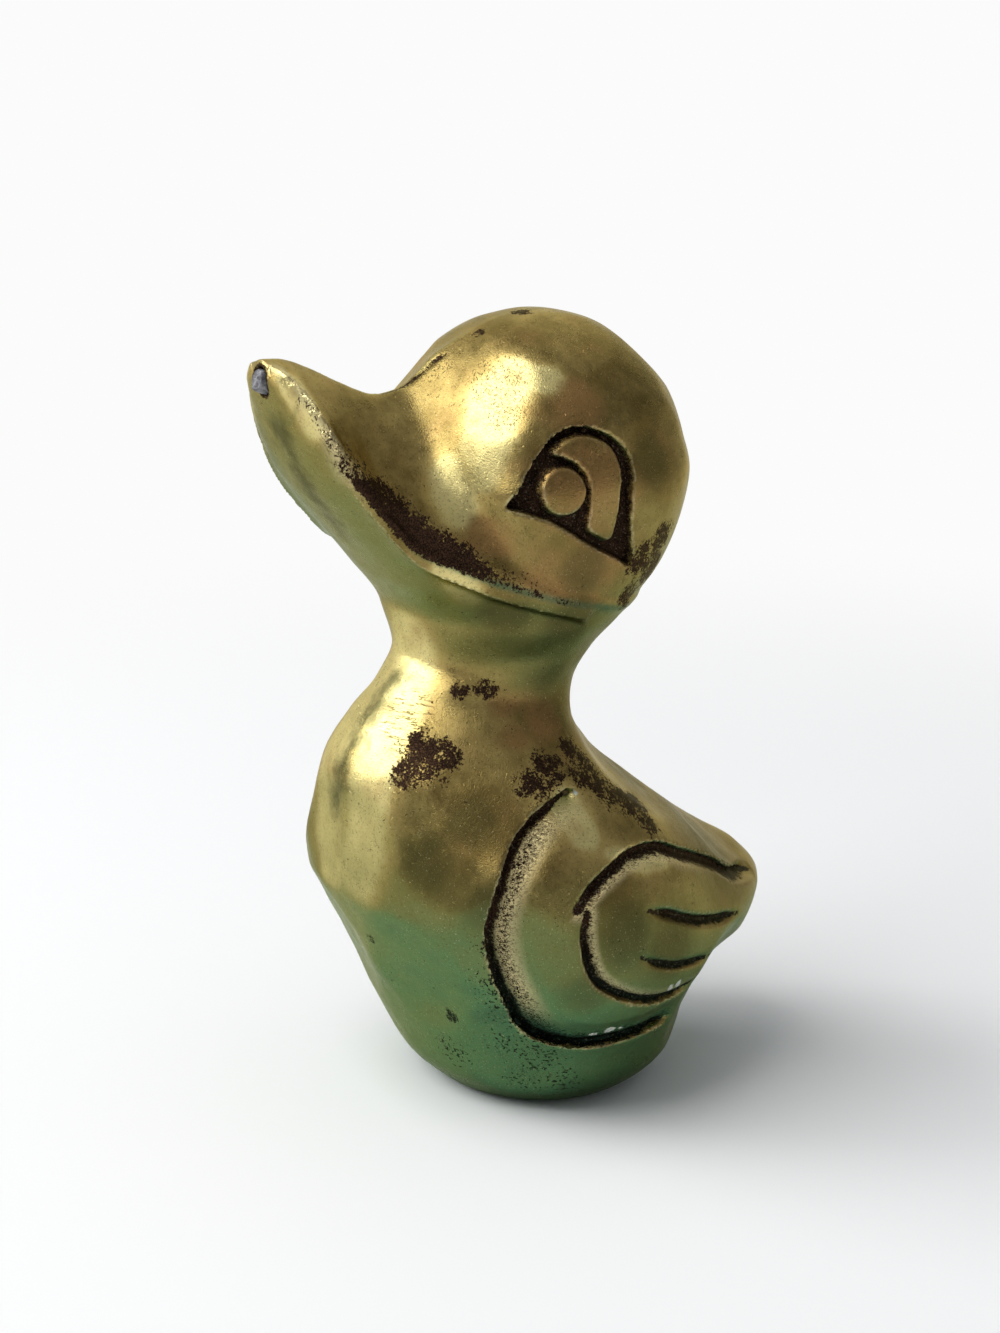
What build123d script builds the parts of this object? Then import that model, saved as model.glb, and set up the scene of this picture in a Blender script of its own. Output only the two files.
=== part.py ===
from build123d import *
from math import cos, pi, sin
import os

# A small hollow cast brass duckling. It faces -Y, its own left side is +X, and the
# origin is the middle of the flat face that it stands on. All lengths are in millimetres.

# Foot
foot_length = 15.6
foot_width = 18.0

# Body
breast_reach = 19.4
tail_reach = 25.0
body_width = 39.0

# Neck
neck_height = 38.0
neck_width = 16.6
neck_front_reach = 14.4
neck_back_reach = 3.3

# Head
head_diameter = 27.0
head_height = 56.5
head_setback = 0.5

# Bill and jaw
jaw_reach = 22.4
bill_reach = 26.2
bill_height = 67.4
bill_tip_width = 8.6
jaw_ledge = 0.7

# Casting
wall = 3.0
seam_width = 0.6

# Hole at the bill's tip, and its plug
plug_diameter = 2.2
plug_length = 3.0

# Foot closure
plate_thickness = 1.6
plate_gap = 0.5

# Engraving
groove_width = 1.1
groove_depth = 0.9
pupil_diameter = 3.9

# Steps round each half of a horizontal section
ring_steps = 6

# The body from the foot up to its fullest height: share of the neck's height, then shares of
# the way from the foot to the full breast, tail and width, the place of the widest point
# between front and back, and the powers that round the front and the back.
lower_body_shares = [
    (0.000, 0.00, 0.00, 0.00, 0.50, 2.0, 2.0),
    (0.021, 0.09, 0.14, 0.18, 0.50, 2.0, 2.0),
    (0.079, 0.29, 0.29, 0.42, 0.49, 2.0, 2.0),
    (0.171, 0.45, 0.41, 0.63, 0.47, 2.0, 1.9),
    (0.263, 0.58, 0.58, 0.81, 0.43, 2.1, 1.7),
    (0.342, 0.71, 0.89, 0.94, 0.39, 2.1, 1.5),
    (0.408, 0.80, 1.00, 0.99, 0.38, 2.2, 1.5),
    (0.474, 0.90, 0.88, 1.00, 0.40, 2.2, 1.5),
]

# The body from its fullest height up to the neck's waist, as shares of the way from the waist
# to the full body.
upper_body_shares = [
    (0.539, 0.94, 0.73, 0.98, 0.44, 2.2, 1.6),
    (0.632, 1.00, 0.49, 0.88, 0.49, 2.2, 1.8),
    (0.737, 0.94, 0.24, 0.65, 0.52, 2.2, 2.0),
    (0.829, 0.82, 0.06, 0.38, 0.56, 2.2, 2.0),
    (0.921, 0.54, -0.03, 0.12, 0.59, 2.1, 2.0),
    (1.000, 0.00, 0.00, 0.00, 0.53, 2.0, 2.0),
]

# The throat from the waist up to the middle of the head, as shares of the way to the jaw's
# front, the back of the head and the head's width.
throat_shares = [
    (0.160, -0.28, 0.15, 0.20, 0.49, 2.1, 2.0),
    (0.348, -0.22, 0.45, 0.62, 0.51, 2.4, 2.0),
    (0.561, 0.12, 0.78, 0.90, 0.55, 2.6, 2.0),
    (0.775, 0.54, 0.95, 0.98, 0.58, 2.8, 2.0),
    (1.000, 1.00, 1.00, 1.00, 0.63, 3.0, 2.0),
]

# The lower bill from the middle of the head up to the tip: share of the way up, shares of the
# way to the bill's reach and to the tip's width, and the place of the widest point.
lower_bill_shares = [
    (0.31, 0.45, 0.15, 0.55),
    (0.59, 0.74, 0.35, 0.45),
    (0.87, 0.95, 0.62, 0.38),
    (1.00, 1.00, 0.75, 0.35),
]

# The dome from the middle of the head up to the crown: shares of the head's radius for the
# height and the half width, and the power that squares the brow.
dome_shares = [
    (0.000, 0.985, 3.0),
    (0.240, 0.965, 2.8),
    (0.480, 0.875, 2.5),
    (0.700, 0.715, 2.2),
    (0.860, 0.510, 2.0),
    (0.950, 0.312, 2.0),
    (0.990, 0.141, 2.0),
    (1.000, 0.030, 2.0),
]

# The jaw's edge seen from the side, from the tip of the bill to the back of the head: share
# of the way back, share of the height from the neck's waist to the tip, and the edge's half
# width as a share of the head's.
jaw_shares = [
    (0.00, 0.985, 0.26),
    (0.03, 0.977, 0.34),
    (0.05, 0.930, 0.43),
    (0.07, 0.844, 0.54),
    (0.14, 0.660, 0.68),
    (0.21, 0.544, 0.77),
    (0.32, 0.435, 0.88),
    (0.45, 0.360, 0.94),
    (0.60, 0.300, 0.95),
    (0.76, 0.255, 0.90),
    (1.00, 0.260, 0.70),
]

# The ridge of the upper bill over the first of the same places, as heights between waist and
# tip, and the upper bill's width there as a share of the jaw's.
ridge_shares = [
    (1.000, 0.80),
    (1.006, 0.90),
    (1.006, 0.92),
    (0.995, 0.94),
    (0.950, 0.94),
    (0.910, 0.94),
    (0.855, 0.92),
    (0.740, 0.78),
]

# The upper bill's arched section, from jaw to jaw: shares of its half width and of its height.
roof_shares = [(-1.0, 0.0), (-0.55, 0.52), (0.0, 1.0), (0.55, 0.52), (1.0, 0.0)]

# The engraved eye, seen from the side: places along and above the middle of the head, as
# shares of the head's radius.
eye_outline_shares = [
    (-0.80, -0.06),
    (-0.56, 0.11),
    (-0.38, 0.31),
    (-0.18, 0.36),
    (-0.01, 0.30),
    (0.10, 0.19),
    (0.12, 0.05),
    (0.10, -0.23),
    (0.07, -0.50),
]
eye_crescent_outer_shares = [
    (-0.39, 0.22),
    (-0.20, 0.31),
    (-0.03, 0.20),
    (0.01, 0.08),
    (-0.06, -0.31),
]
eye_crescent_inner_shares = [(-0.20, -0.23), (-0.20, 0.03), (-0.27, 0.15)]
pupil_place_shares = (-0.41, -0.01)

# The engraved wing, seen from the side: places along the body as shares of the tail's reach,
# and heights as shares of the neck's height.
wing_outline_shares = [
    (-0.17, 0.798),
    (-0.38, 0.726),
    (-0.50, 0.603),
    (-0.49, 0.455),
    (-0.38, 0.303),
    (-0.21, 0.224),
    (0.02, 0.221),
    (0.20, 0.232),
]
feather_top_shares = [
    (-0.26, 0.579),
    (-0.12, 0.645),
    (0.02, 0.661),
    (0.14, 0.650),
    (0.29, 0.605),
    (0.51, 0.534),
    (0.80, 0.446),
]
feather_lower_shares = [
    (-0.24, 0.566),
    (-0.23, 0.460),
    (-0.14, 0.374),
    (-0.05, 0.342),
    (0.06, 0.318),
    (0.29, 0.313),
]
upper_slot_shares = [(0.01, 0.542), (0.14, 0.508), (0.28, 0.468), (0.52, 0.420)]
lower_slot_shares = [(-0.04, 0.445), (0.03, 0.418), (0.14, 0.389), (0.34, 0.363)]

# How far the plug's middle lies below the bill's tip, as a share of its diameter
plug_drop_share = 0.65

# How far back and how low the point lies at which the plug's hole is aimed, as a share of the bill
plug_aim_share = 0.5

head_radius = head_diameter / 2
head_back = head_setback + head_radius
total_height = head_height + head_radius


def between(start, end, share):
    """The value at a share of the way from start to end."""
    return start + share * (end - start)


def rounded(value, power):
    """A signed sine or cosine raised to a power, which squares or sharpens an ellipse."""
    return abs(value) ** power if value > 0 else -abs(value) ** power


def swell(shares, start, end, low, high):
    """Rings of one stretch: height, front, back, half width, widest share and two powers."""
    rows = []
    for up, *ways, widest, front_power, back_power in shares:
        reach = [between(a, b, way) for a, b, way in zip(start, end, ways)]
        rows.append((between(low, high, up), *reach, widest, front_power, back_power))
    return rows


def body_rows():
    """Rings from the foot up to the neck's waist."""
    foot = (foot_length / 2, foot_length / 2, foot_width / 2)
    body = (breast_reach, tail_reach, body_width / 2)
    waist = (neck_front_reach, neck_back_reach, neck_width / 2)
    rising = swell(lower_body_shares, foot, body, 0, neck_height)
    return rising + swell(upper_body_shares, waist, body, 0, neck_height)


def throat_rows():
    """Rings from the neck's waist up to the middle of the head."""
    waist = (neck_front_reach, neck_back_reach, neck_width / 2)
    head = (jaw_reach, head_back, head_radius)
    rising = swell(throat_shares, waist, head, neck_height, head_height)
    return body_rows()[-1:] + rising


def lower_bill_rows():
    """Rings of the lower bill above the middle of the head."""
    rows = []
    for up, out, narrow, widest in lower_bill_shares:
        front = between(jaw_reach, bill_reach, out)
        half = between(head_radius, bill_tip_width / 2, narrow)
        z = between(head_height, bill_height, up)
        rows.append((z, front, head_back, half, widest, 3.0, 2.0))
    return rows


def cheek_rows():
    """Rings of the head below its middle, a little squarer than a ball."""
    rows = []
    for z, _, back, half, _, _, _ in throat_rows()[-4:-1]:
        rows.append((z, half - head_setback, back - jaw_ledge / 2, half - jaw_ledge, 1 / 2, 3.0, 2.0))
    return rows


def dome_rows(radius):
    """Rings of the head from its middle up to the crown."""
    rows = []
    for up, size, power in dome_shares:
        half = radius * size
        z = head_height + radius * up
        rows.append((z, half - head_setback, half + head_setback, half, 1 / 2, power, 2.0))
    return rows


def drawn_in(rows, depth):
    """The same rings, drawn in all round."""
    return [(z, front - depth, back - depth, half - depth, *rest) for z, front, back, half, *rest in rows]


def core_rows():
    """Rings of the hollow, from the top of the mouth up to the crown."""
    rows = body_rows()[2:] + cheek_rows()
    return drawn_in(rows, wall) + dome_rows(head_radius - wall)


def even_shares(count):
    """Evenly spread shares from 0 to 1, so that all curves of a form match."""
    return [step / (count - 1) for step in range(count)]


def half_ring(row, side):
    """The curve round one side of a ring, from front to back."""
    z, front, back, half, widest_share, front_power, back_power = row
    widest = between(-front, back, widest_share)
    points = []
    for share in even_shares(ring_steps + 1):
        angle = pi * (share - 1 / 2)
        power = 2 / (back_power if angle > 0 else front_power)
        length = back - widest if angle > 0 else widest + front
        x = side * half * cos(angle) ** power
        points.append(Vector(x, widest + length * rounded(sin(angle), power), z))
    across = Vector(side * half * pi, 0, 0)
    shares = even_shares(len(points))
    return Edge.make_spline(points, tangents=[across, -across], parameters=shares, scale=False)


def ring(row):
    """One horizontal section."""
    return Face(Wire([half_ring(row, 1), half_ring(row, -1)]))


def stack(rows):
    """A smooth form through rings."""
    return loft([ring(row) for row in rows])


def jaw_points():
    """Place along Y, height and half width of the jaw's edge."""
    points = []
    for back, up, out in jaw_shares:
        y = between(-bill_reach, head_back, back)
        points.append((y, between(neck_height, bill_height, up), head_radius * out))
    return points


def above_jaw():
    """Everything above the jaw's edge."""
    edge = [Vector(0, y, z) for y, z, half in jaw_points()]
    first, last = edge[0], edge[-1]
    top = total_height + wall
    corners = [last, last + Vector(0, wall, 0), Vector(0, last.Y + wall, top)]
    corners += [Vector(0, first.Y - wall, top), first + Vector(0, -wall, 0), first]
    outline = Wire([Edge.make_spline(edge)] + list(Polyline(*corners).edges()))
    return extrude(Face(outline), amount=body_width / 2, dir=(1, 0, 0), both=True)


def arch(y, low, half, height):
    """One section of the upper bill, across its length."""
    roof = [Vector(half * out, y, low + height * lift) for out, lift in roof_shares]
    curve = Edge.make_spline(roof, parameters=even_shares(len(roof)))
    foot = Vector(0, 0, -jaw_ledge)
    sides = Polyline(roof[-1], roof[-1] + foot, roof[0] + foot, roof[0])
    return Face(Wire([curve] + list(sides.edges())))


def upper_bill():
    """The arched upper bill, from inside the head to the tip."""
    sections = []
    for (y, low, half), (up, narrow) in zip(jaw_points(), ridge_shares):
        sections.append(arch(y, low, half * narrow, between(neck_height, bill_height, up) - low))
    return loft(sections)


def outer_form():
    """The whole duck, solid: the trunk below the jaw's edge, the head and the upper bill."""
    trunk = stack(body_rows() + throat_rows()[1:] + lower_bill_rows())
    return trunk - above_jaw() + stack(cheek_rows() + dome_rows(head_radius)) + upper_bill()


def side_point(shares, middle=(0, 0), along=1.0, up=1.0):
    """A point seen from the side, from its shares of two sizes about a middle."""
    return Vector(0, middle[0] + along * shares[0], middle[1] + up * shares[1])


def eye_point(shares):
    """A point of the eye, measured from the middle of the head."""
    return side_point(shares, (head_setback, head_height), head_radius, head_radius)


def wing_point(shares):
    """A point of the wing, measured from the foot."""
    return side_point(shares, (0, 0), tail_reach, neck_height)


def cutter(outline):
    """A side view outline carried out through the duck's left side."""
    inner_side = body_width / 8
    return Pos(inner_side, 0, 0) * extrude(outline, amount=body_width, dir=(1, 0, 0))


def eye_cut():
    """The recess round the pupil and the crescent of the eye."""
    rim = [eye_point(shares) for shares in eye_outline_shares]
    recess = Face(Wire([Edge.make_spline(rim), Edge.make_line(rim[-1], rim[0])]))
    outer = [eye_point(shares) for shares in eye_crescent_outer_shares]
    inner = [eye_point(shares) for shares in eye_crescent_inner_shares]
    inner = [outer[-1]] + inner + [outer[0]]
    crescent = Face(Wire([Edge.make_spline(outer), Edge.make_spline(inner)]))
    pupil = Plane(eye_point(pupil_place_shares), z_dir=(1, 0, 0)) * Circle(pupil_diameter / 2)
    floor = drawn_in(cheek_rows() + dome_rows(head_radius)[:-2], groove_depth)
    return cutter(recess - crescent - pupil) - stack(floor)


def groove(shares):
    """The outline of a groove, half its width to each side of its line."""
    line = Edge.make_spline([wing_point(pair) for pair in shares])
    sides = []
    for side in (Vector(1, 0, 0), Vector(-1, 0, 0)):
        points = []
        for place in even_shares(2 * len(shares)):
            points.append(line @ place + (line % place).cross(side) * (groove_width / 2))
        sides.append(points)
    upper, lower = sides
    lower.reverse()
    ends = [Edge.make_line(upper[-1], lower[0]), Edge.make_line(lower[-1], upper[0])]
    return Face(Wire([Edge.make_spline(upper), ends[0], Edge.make_spline(lower), ends[1]]))


def wing_cut():
    """The grooves round the wing and between its feathers."""
    lines = (wing_outline_shares, feather_top_shares, feather_lower_shares, upper_slot_shares)
    floor = stack(drawn_in(body_rows(), groove_depth))
    return [cutter(groove(shares)) - floor for shares in (*lines, lower_slot_shares)]


def tip_hole():
    """The blind hole at the tip of the bill, which points along the bill."""
    tip = Vector(0, -bill_reach, bill_height - plug_diameter * plug_drop_share)
    inner = Vector(0, -bill_reach * plug_aim_share, between(head_height, bill_height, plug_aim_share))
    outside = Plane(tip, z_dir=inner - tip).offset(-plug_diameter)
    return outside * extrude(Circle(plug_diameter / 2), amount=plug_length + plug_diameter)


def between_planes(low, high):
    """A block that covers the whole duck between two planes across X."""
    size = total_height + tail_reach
    block = Box(high - low, 2 * size, 2 * size, align=(Align.MIN, Align.CENTER, Align.CENTER))
    return Pos(low, 0, 0) * block


def mouth(inset, depth):
    """The opening in the foot, drawn in from the foot's edge."""
    return extrude(ring(drawn_in(body_rows(), inset)[0]), amount=depth, dir=(0, 0, 1))


def core():
    """The hollow, with flat bands from ring to ring, and its mouth."""
    rows = core_rows()
    return loft([ring(row) for row in rows], ruled=True) + mouth(wall, rows[0][0])


def base_plate():
    """The plate in the mouth of the foot, filed flush with it."""
    return mouth(wall + plate_gap, plate_thickness)


def base_solder():
    """Solder between the plate's edge and the mouth."""
    return mouth(wall, plate_thickness) - base_plate()


def write_parts():
    """One file for each piece."""
    edge = seam_width / 2
    form = outer_form()
    casting = form - core() - tip_hole()
    left = (casting & between_planes(edge, body_width)) - eye_cut() - wing_cut()
    pieces = {
        "left_half": left,
        "right_half": mirror(left, about=Plane.YZ),
        "seam_braze": casting & between_planes(-edge, edge),
        "bill_tip_plug": form & tip_hole(),
        "base_plate": base_plate(),
        "base_solder": base_solder(),
    }
    os.makedirs("parts", exist_ok=True)
    for name, piece in pieces.items():
        piece.label = name
        export_step(piece, f"parts/{name}.step")


write_parts()
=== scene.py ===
import math

import bmesh
import bpy
import numpy as np
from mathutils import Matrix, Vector


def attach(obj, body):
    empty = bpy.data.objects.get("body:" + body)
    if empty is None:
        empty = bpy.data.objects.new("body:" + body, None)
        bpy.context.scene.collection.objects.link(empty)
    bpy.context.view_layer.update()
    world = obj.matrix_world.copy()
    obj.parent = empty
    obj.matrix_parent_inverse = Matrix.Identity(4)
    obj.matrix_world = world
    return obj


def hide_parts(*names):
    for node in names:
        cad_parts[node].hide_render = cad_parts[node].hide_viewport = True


# The duck's skin is a level set in millimetres, in the frame of the CAD model: it faces -Y, its
# left side is +X, and it stands on z = 0. The skin is cut into the same pieces as the casting.

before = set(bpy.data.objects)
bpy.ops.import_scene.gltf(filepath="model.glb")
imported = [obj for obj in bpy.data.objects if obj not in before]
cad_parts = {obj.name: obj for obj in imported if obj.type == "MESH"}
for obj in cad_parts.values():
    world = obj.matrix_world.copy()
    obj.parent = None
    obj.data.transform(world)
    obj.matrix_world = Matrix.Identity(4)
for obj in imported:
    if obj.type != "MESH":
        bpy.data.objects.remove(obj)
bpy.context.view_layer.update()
MM = 0.001
QUICK_CELL, FINE_CELL = 0.42, 0.3
CELL = FINE_CELL

# Camera: where it stands, in degrees and millimetres, and what it looks at.
AZIMUTH, ELEVATION, DISTANCE = 58.0, 15.0, 240.0
TARGET = (0.0, -2.82, 38.39)
LENS, SENSOR_WIDTH, CLIP_NEAR, CLIP_FAR = 73.0, 36.0, 0.01, 20.0


def turned(azimuth, elevation):
    """The direction from the duck towards a viewer or a lamp."""
    a, e = math.radians(azimuth), math.radians(elevation)
    return Vector((math.sin(a) * math.cos(e), -math.cos(a) * math.cos(e), math.sin(e)))


def aimed(name, data, azimuth, elevation, distance, target):
    """An object that looks at a point from a direction and a distance."""
    obj = bpy.data.objects.new(name, data)
    back = turned(azimuth, elevation)
    obj.location = (Vector(target) + back * distance) * MM
    obj.rotation_euler = (-back).to_track_quat("-Z", "Y").to_euler()
    bpy.context.scene.collection.objects.link(obj)
    return obj


lens = bpy.data.cameras.new("camera")
lens.lens = LENS
lens.sensor_width = SENSOR_WIDTH
lens.clip_start, lens.clip_end = CLIP_NEAR, CLIP_FAR
bpy.context.scene.camera = aimed("camera", lens, AZIMUTH, ELEVATION, DISTANCE, TARGET)

# Tables of the form, in millimetres.
# Trunk: height, front, back, half width, widest place along Y, front power, back power.
TRUNK = np.array([
    (0.0, -7.8, 7.8, 9.0, 0.0, 2.0, 2.0),
    (0.8, -8.9, 10.0, 10.9, 0.0, 2.0, 2.0),
    (3.0, -11.1, 12.9, 13.4, -0.2, 2.0, 2.0),
    (6.5, -12.9, 14.9, 15.4, -0.4, 2.0, 1.9),
    (10.0, -14.4, 17.7, 17.5, -0.6, 2.1, 1.7),
    (13.0, -16.0, 23.2, 18.9, -0.8, 2.1, 1.55),
    (15.5, -17.1, 25.0, 19.4, -1.2, 2.2, 1.5),
    (18.0, -18.2, 23.0, 19.5, -1.6, 2.2, 1.5),
    (20.5, -19.1, 19.1, 19.3, -2.2, 2.2, 1.6),
    (24.0, -19.4, 13.9, 18.2, -3.2, 2.2, 1.8),
    (28.0, -19.1, 8.6, 15.6, -4.6, 2.2, 2.0),
    (31.5, -18.5, 4.7, 12.6, -5.4, 2.2, 2.0),
    (35.0, -17.1, 2.6, 9.6, -5.5, 2.1, 2.0),
    (38.0, -14.4, 3.3, 8.3, -5.0, 2.0, 2.0),
    (41.0, -12.2, 4.9, 9.2, -3.6, 2.1, 2.0),
    (44.5, -12.6, 8.0, 11.4, -2.1, 2.4, 2.0),
    (48.5, -15.4, 11.5, 12.8, -0.6, 2.6, 2.0),
    (52.5, -18.7, 13.3, 13.2, 0.0, 2.8, 2.0),
    (57.0, -22.2, 14.0, 13.4, 0.5, 3.0, 2.0),
    (60.0, -23.8, 14.0, 12.1, -3.1, 3.0, 2.0),
    (63.0, -25.0, 14.0, 10.3, -7.6, 3.0, 2.0),
    (66.0, -26.0, 14.0, 7.8, -10.8, 3.0, 2.0),
    (67.4, -26.2, 14.0, 6.6, -12.1, 3.0, 2.0),
])

# The jaw's edge from the tip of the bill back to the nape: place along Y, height, half width.
JAW = np.array([
    (-27.0, 67.5, 3.6),
    (-25.5, 67.3, 3.9),
    (-24.9, 66.7, 4.5),
    (-24.5, 65.7, 5.5),
    (-24.0, 64.6, 6.6),
    (-23.3, 62.8, 7.1),
    (-22.6, 61.0, 8.1),
    (-21.9, 59.4, 8.6),
    (-20.6, 57.4, 9.1),
    (-19.1, 55.5, 9.3),
    (-17.8, 54.0, 9.9),
    (-16.7, 52.8, 10.6),
    (-15.6, 51.9, 11.3),
    (-13.4, 50.8, 11.7),
    (-10.8, 49.6, 12.0),
    (-8.1, 48.6, 12.4),
    (-4.8, 47.5, 12.5),
    (-2.4, 46.8, 12.4),
    (-0.8, 46.4, 12.0),
    (4.0, 45.4, 11.5),
    (14.5, 45.3, 8.0),
])

# The ridge of the upper bill: place along Y, height.
RIDGE = np.array([
    (-27.0, 67.3),
    (-25.7, 67.6),
    (-24.5, 67.6),
    (-23.1, 67.3),
    (-21.7, 66.7),
    (-20.1, 65.9),
    (-18.5, 65.1),
    (-17.0, 64.4),
    (-15.2, 63.9),
    (-12.8, 64.3),
    (-10.8, 65.2),
    (-8.8, 66.4),
    (-4.0, 66.8),
])

HEAD_MIDDLE, HEAD_RADIUS = (0.0, 0.5, 56.6), 13.4

# Lines cut into the left side, seen from +X: places along Y and heights.
WING_GROOVE = [
    (-4.3, 30.3), (-7.2, 29.3), (-9.6, 27.6), (-11.4, 25.4), (-12.5, 22.9), (-12.8, 20.2), (-12.3, 17.3),
    (-11.4, 14.8), (-9.6, 11.5), (-7.8, 9.5), (-5.2, 8.5), (-2.6, 8.3), (0.6, 8.4), (4.6, 8.6),
]
FEATHER_TOP = [
    (-6.7, 21.9), (-5.0, 23.3), (-2.8, 24.4), (-0.1, 25.1), (3.4, 24.7), (7.2, 23.0), (12.7, 20.3),
    (16.0, 18.3), (20.7, 16.9),
]
FEATHER_LOWER = [
    (-5.9, 21.5), (-6.1, 19.9), (-5.8, 17.5), (-4.9, 15.5), (-3.4, 14.2), (-1.2, 13.0), (1.5, 12.1),
    (4.4, 11.7), (7.2, 11.9),
]
SLOT_UPPER = [(0.3, 20.6), (3.1, 19.5), (6.6, 17.9), (10.3, 16.7), (14.5, 15.8)]
SLOT_LOWER = [(-0.9, 16.9), (0.8, 15.9), (3.6, 14.8), (6.8, 14.1), (9.5, 13.7)]
EYE = [
    (-9.4, 55.6), (-8.5, 56.8), (-7.5, 58.3), (-6.3, 59.8), (-4.9, 61.0), (-3.6, 61.5), (-2.2, 61.6),
    (0.0, 60.8), (1.6, 59.2), (1.9, 57.4), (1.8, 53.7), (2.5, 49.6), (0.6, 50.4), (-2.4, 52.0),
    (-4.2, 53.2), (-6.3, 54.4), (-7.7, 54.9),
]
CRESCENT = [
    (-5.1, 59.8), (-3.8, 60.5), (-2.4, 60.8), (-0.7, 60.2), (0.2, 59.3), (0.6, 57.8),
    (0.4, 56.2), (0.1, 53.2), (-0.3, 52.2), (-1.1, 52.5), (-2.3, 53.3), (-2.2, 55.0),
    (-2.2, 56.3), (-2.4, 57.7), (-3.2, 58.8), (-4.2, 59.4),
]
PUPIL, PUPIL_RADIUS = (-4.8, 56.6), 2.0

# Half the width of the joint between the halves, the mouth of the foot, and the hole in the bill.
SEAM = 0.3
MOUTH_LENGTH, MOUTH_WIDTH, MOUTH_DEPTH = 4.8, 6.0, 1.6
PLUG_TOP, PLUG_AIM = (0.0, -26.2, 65.97), (0.0, -13.1, 61.95)
PLUG_RADIUS, PLUG_DEPTH = 1.1, 3.0


# Curves.
def slopes(knots, values):
    """Slopes at the knots that keep a curve from overshooting."""
    h = np.diff(knots)
    d = np.diff(values) / h
    m = np.zeros(len(knots))
    before, after = d[:-1], d[1:]
    same = before * after > 0
    w1, w2 = 2 * h[1:] + h[:-1], h[1:] + 2 * h[:-1]
    m[1:-1][same] = (w1 + w2)[same] / (w1[same] / before[same] + w2[same] / after[same])
    m[0], m[-1] = d[0], d[-1]
    return m


def along(q, knots, values):
    """A smooth curve through a table's values."""
    m = slopes(knots, values)
    h = np.diff(knots)
    q = np.clip(q, knots[0], knots[-1])
    i = np.clip(np.searchsorted(knots, q, side="right") - 1, 0, len(h) - 1)
    t = (q - knots[i]) / h[i]
    a, b = 2 * t**3 - 3 * t**2 + 1, t**3 - 2 * t**2 + t
    return a * values[i] + b * h[i] * m[i] + (1 - a) * values[i + 1] + (t**3 - t**2) * h[i] * m[i + 1]


def rounded_line(points, closed=False, steps=6):
    """A smooth line through points, as many short runs."""
    p = np.array(points, float)
    if closed:
        p = np.vstack([p[-1:], p, p[:2]])
    else:
        p = np.vstack([2 * p[:1] - p[1:2], p, 2 * p[-1:] - p[-2:-1]])
    out = []
    for i in range(1, len(p) - 2):
        for t in np.arange(steps) / steps:
            a, b, c, d = p[i - 1], p[i], p[i + 1], p[i + 2]
            bend, twist = 2 * a - 5 * b + 4 * c - d, 3 * b - a - 3 * c + d
            out.append(0.5 * (2 * b + (c - a) * t + bend * t**2 + twist * t**3))
    if not closed:
        out.append(p[-2])
    return np.array(out)


def line_distance(y, z, line, closed=False):
    """Distance from points to a line, with its sign: positive to the left of the line's way."""
    best = np.full(np.broadcast(y, z).shape, 1e9)
    sign = np.zeros_like(best)
    ends = np.roll(line, -1, axis=0) if closed else line[1:]
    for (ay, az), (by, bz) in zip(line, ends):
        ey, ez = by - ay, bz - az
        t = np.clip(((y - ay) * ey + (z - az) * ez) / (ey * ey + ez * ez + 1e-12), 0, 1)
        dy, dz = y - ay - t * ey, z - az - t * ez
        d = dy * dy + dz * dz
        near = d < best
        best = np.where(near, d, best)
        sign = np.where(near, np.sign(ey * (z - az) - ez * (y - ay)), sign)
    return np.sqrt(best), sign


def inside(y, z, line):
    """Whether points lie inside a closed line."""
    odd = np.zeros(np.broadcast(y, z).shape, bool)
    for (ay, az), (by, bz) in zip(line, np.roll(line, -1, axis=0)):
        if az != bz:
            odd ^= ((az > z) != (bz > z)) & (y < (by - ay) * (z - az) / (bz - az) + ay)
    return odd


def region(y, z, line):
    """Signed distance to a closed outline, negative inside."""
    distance, _ = line_distance(y, z, line, closed=True)
    return np.where(inside(y, z, line), -distance, distance)


def blend_low(a, b, k):
    """The lower of two fields, rounded where they meet."""
    h = np.clip(k - np.abs(a - b), 0, None) / k
    return np.minimum(a, b) - h * h * k / 4


def blend_high(a, b, k):
    """The higher of two fields, rounded where they meet."""
    return -blend_low(-a, -b, k)


def step(a, b, v):
    """A soft step from 0 at a to 1 at b."""
    t = np.clip((v - a) / (b - a), 0, 1)
    return t * t * (3 - 2 * t)


# Noise.
def lattice(i, j, k, seed):
    """A fixed random number for each point of a lattice."""
    n = (i * 374761393 + j * 668265263 + k * 2147483647 + seed * 1274126177) & 0xFFFFFFFF
    n = ((n ^ (n >> 13)) * 1274126177) & 0xFFFFFFFF
    return ((n ^ (n >> 16)) & 0xFFFF) / 65535.0


def noise(x, y, z, size, seed):
    """Smooth noise from -1 to 1 with features of a size."""
    x, y, z = np.broadcast_arrays(x / size + 100.0, y / size + 100.0, z / size + 100.0)
    i, j, k = (np.floor(v).astype(np.int64) for v in (x, y, z))
    u, v, w = (t * t * (3 - 2 * t) for t in (x - i, y - j, z - k))
    total = 0
    for a in (0, 1):
        for b in (0, 1):
            for c in (0, 1):
                part = (u if a else 1 - u) * (v if b else 1 - v) * (w if c else 1 - w)
                total = total + part * lattice(i + a, j + b, k + c, seed)
    return total * 2 - 1


# Form.
def trunk(x, y, z, high=None):
    """Body, throat and lower bill, about the distance to their side walls."""
    z = np.clip(z if high is None else high, TRUNK[0, 0], TRUNK[-1, 0])
    front, back, half, widest, p, q = (along(z, TRUNK[:, 0], TRUNK[:, k]) for k in range(1, 7))
    dy = y - widest
    length = np.where(dy < 0, widest - front, back - widest)
    power = np.where(dy < 0, p, q)
    g = ((np.abs(x) / half) ** power + (np.abs(dy) / length) ** power) ** (1 / power) + 1e-9
    rho = np.sqrt(x * x + dy * dy)
    return np.where(rho < 1e-3, -half, rho * (1 - 1 / g))


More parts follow.
